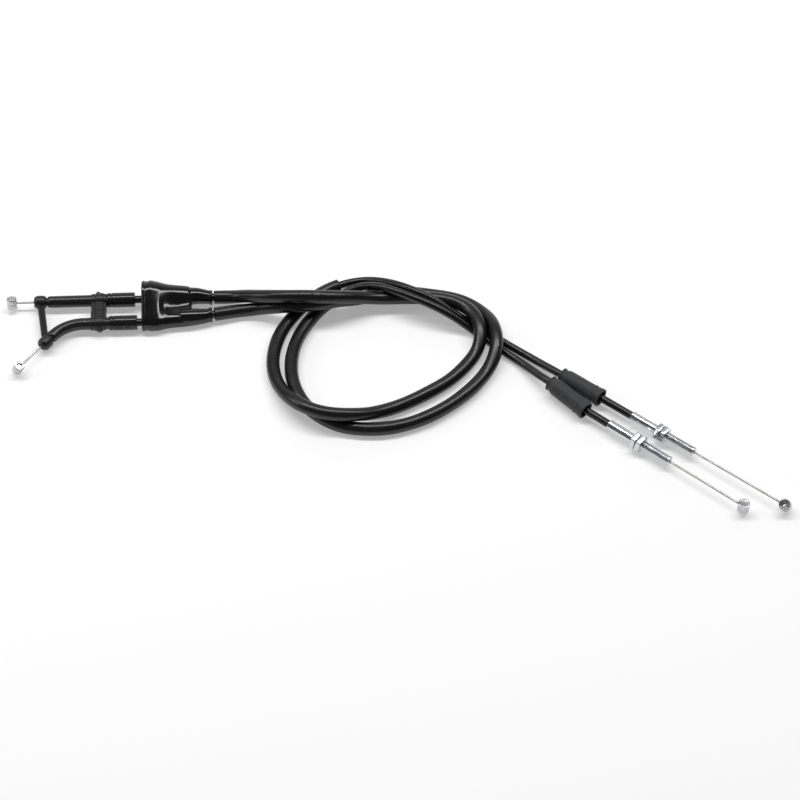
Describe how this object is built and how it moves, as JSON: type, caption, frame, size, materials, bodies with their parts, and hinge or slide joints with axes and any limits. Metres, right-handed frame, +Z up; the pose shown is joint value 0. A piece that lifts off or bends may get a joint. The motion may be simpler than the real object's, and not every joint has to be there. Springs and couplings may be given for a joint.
{
  "type": "throttle cable set",
  "caption": "Twin push-pull throttle cable set with bent guide tube, bridge clip, boots, threaded adjusters with jam nuts and barrel end nipples.",
  "frame": {"origin": "centre of the bounding box on the floor the coiled set lies on", "axes": "+X from the twist-grip end to the carburettor end, +Y across the coil away from the adjusters, +Z up from the floor"},
  "size_m": [0.4768, 0.1815, 0.0259],
  "materials": {
    "tube": "semi-gloss black moulded plastic",
    "link": "satin black moulded plastic",
    "clip": "satin black moulded plastic",
    "collar": "gloss black moulded plastic",
    "jacket": "gloss black extruded jacket",
    "winding": "flat steel winding, unfinished",
    "liner": "natural white low-friction liner",
    "sleeve": "satin black flexible tubing",
    "wire": "stranded bright steel",
    "zinc": "bright zinc plate",
    "nipple": "die-cast zinc, as cast",
    "boot": "glossy black flexible vinyl",
    "dust": "matt dark grey rubber"
  },
  "bodies": {
    "housing": {"pull_guide_tube": "tube", "return_guide_tube": "tube", "guide_link": "link", "pull_clip_half": "clip", "return_clip_half": "clip", "pull_collar": "collar", "return_collar": "collar", "pull_casing_jacket": "jacket", "pull_casing_winding": "winding", "pull_casing_liner": "liner", "return_casing_jacket": "jacket", "return_casing_winding": "winding", "return_casing_liner": "liner", "pull_cover_sleeve": "sleeve", "return_cover_sleeve": "sleeve", "pull_wire_middle": "wire", "return_wire_middle": "wire", "pull_adjuster": "zinc", "return_adjuster": "zinc"},
    "pull_grip_end": {"pull_grip_wire": "wire", "pull_grip_nipple": "nipple"},
    "return_grip_end": {"return_grip_wire": "wire", "return_grip_nipple": "nipple"},
    "pull_tail_end": {"pull_tail_wire": "wire", "pull_tail_nipple": "nipple"},
    "return_tail_end": {"return_tail_wire": "wire", "return_tail_nipple": "nipple"},
    "pull_rear_nut_body": {"pull_rear_nut": "zinc"},
    "pull_front_nut_body": {"pull_front_nut": "zinc"},
    "return_rear_nut_body": {"return_rear_nut": "zinc"},
    "return_front_nut_body": {"return_front_nut": "zinc"},
    "twin_boot_body": {"twin_boot": "boot"},
    "pull_dust_boot_body": {"pull_dust_boot": "dust"},
    "return_dust_boot_body": {"return_dust_boot": "dust"}
  },
  "joints": [
    {"name": "pull_grip_slide", "type": "slide", "parent": "housing", "child": "pull_grip_end", "axis": [-0.9993, -0.0384, 0], "range_m": [-0.0102, 0.058]},
    {"name": "pull_tail_slide", "type": "slide", "parent": "housing", "child": "pull_tail_end", "axis": [0.7951, -0.6064, 0], "range_m": [-0.058, 0.0102]},
    {"name": "return_grip_slide", "type": "slide", "parent": "housing", "child": "return_grip_end", "axis": [-0.606, -0.7955, 0], "range_m": [-0.0165, 0.039]},
    {"name": "return_tail_slide", "type": "slide", "parent": "housing", "child": "return_tail_end", "axis": [0.783, -0.622, 0], "range_m": [-0.039, 0.0165]},
    {"name": "pull_rear_nut_travel", "type": "slide", "parent": "housing", "child": "pull_rear_nut_body", "axis": [0.7951, -0.6064, 0], "range_m": [0, 0.008]},
    {"name": "pull_front_nut_travel", "type": "slide", "parent": "pull_rear_nut_body", "child": "pull_front_nut_body", "axis": [0.7951, -0.6064, 0], "range_m": [0, 0.008]},
    {"name": "return_rear_nut_travel", "type": "slide", "parent": "housing", "child": "return_rear_nut_body", "axis": [0.783, -0.622, 0], "range_m": [0, 0.008]},
    {"name": "return_front_nut_travel", "type": "slide", "parent": "return_rear_nut_body", "child": "return_front_nut_body", "axis": [0.783, -0.622, 0], "range_m": [0, 0.008]},
    {"name": "twin_boot_slide", "type": "slide", "parent": "housing", "child": "twin_boot_body", "axis": [-0.9905, -0.1376, 0], "range_m": [0, 0.012]},
    {"name": "pull_dust_boot_slide", "type": "slide", "parent": "housing", "child": "pull_dust_boot_body", "axis": [0.7951, -0.6064, 0], "range_m": [0, 0.04]},
    {"name": "return_dust_boot_slide", "type": "slide", "parent": "housing", "child": "return_dust_boot_body", "axis": [0.7181, -0.6934, -0.0601], "range_m": [0, 0.008]}
  ],
  "couplings": [
    {"joint": "pull_tail_slide", "follows": "pull_grip_slide", "ratio": -1},
    {"joint": "return_tail_slide", "follows": "return_grip_slide", "ratio": -1}
  ]
}
